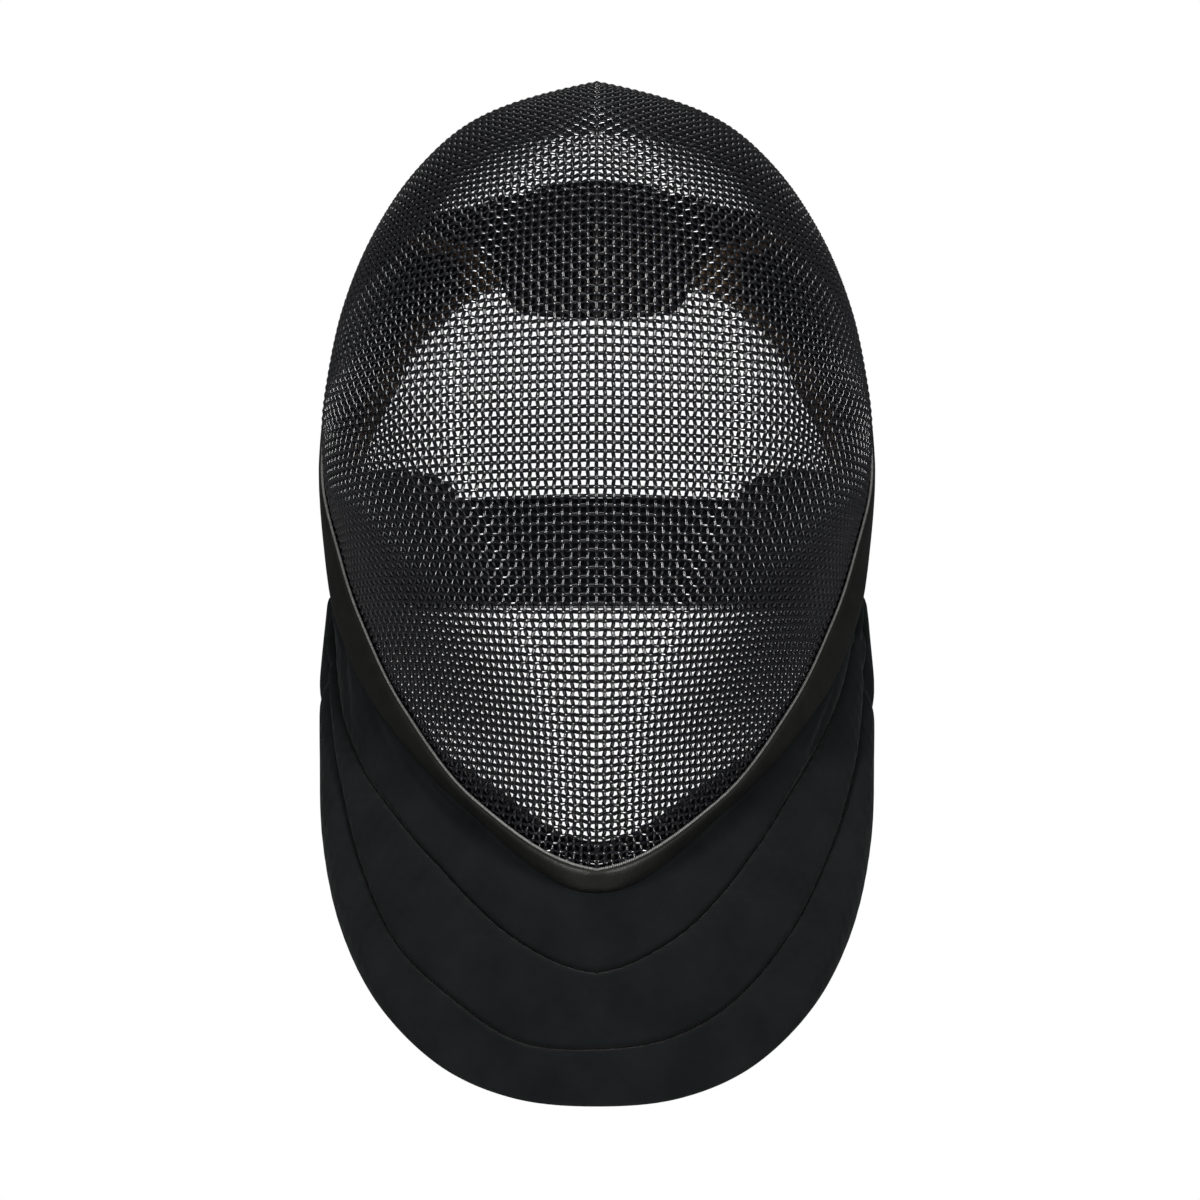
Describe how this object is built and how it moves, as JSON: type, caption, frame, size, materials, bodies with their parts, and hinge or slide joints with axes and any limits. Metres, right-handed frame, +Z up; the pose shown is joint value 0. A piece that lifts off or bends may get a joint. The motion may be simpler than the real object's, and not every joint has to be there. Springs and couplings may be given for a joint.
{
  "type": "fencing mask",
  "caption": "Fencing mask with a creased dome of woven black wire, a vinyl-bound rim, a padded cloth bib and a rear elastic strap.",
  "frame": {"origin": "centre of the forehead pad's inner face, where the wearer's brow rests", "axes": "+Z up along the wearer's head, the face looks along -Y, +X to the right in the picture"},
  "size_m": [0.221, 0.242, 0.3827],
  "materials": {
    "wire": "gloss black paint on woven wire",
    "vinyl": "satin black vinyl strip",
    "cloth": "matt black knit, padded",
    "pad": "brown-black covered foam",
    "elastic": "matt black woven elastic"
  },
  "bodies": {
    "root": {"wire_mesh": "wire", "edge_binding": "vinyl", "bib": "cloth", "forehead_pad": "pad", "temple_pad_left": "pad", "temple_pad_right": "pad", "chin_pad": "pad", "back_strap": "elastic", "strap_tab_left": "elastic", "strap_tab_right": "elastic"}
  },
  "joints": []
}
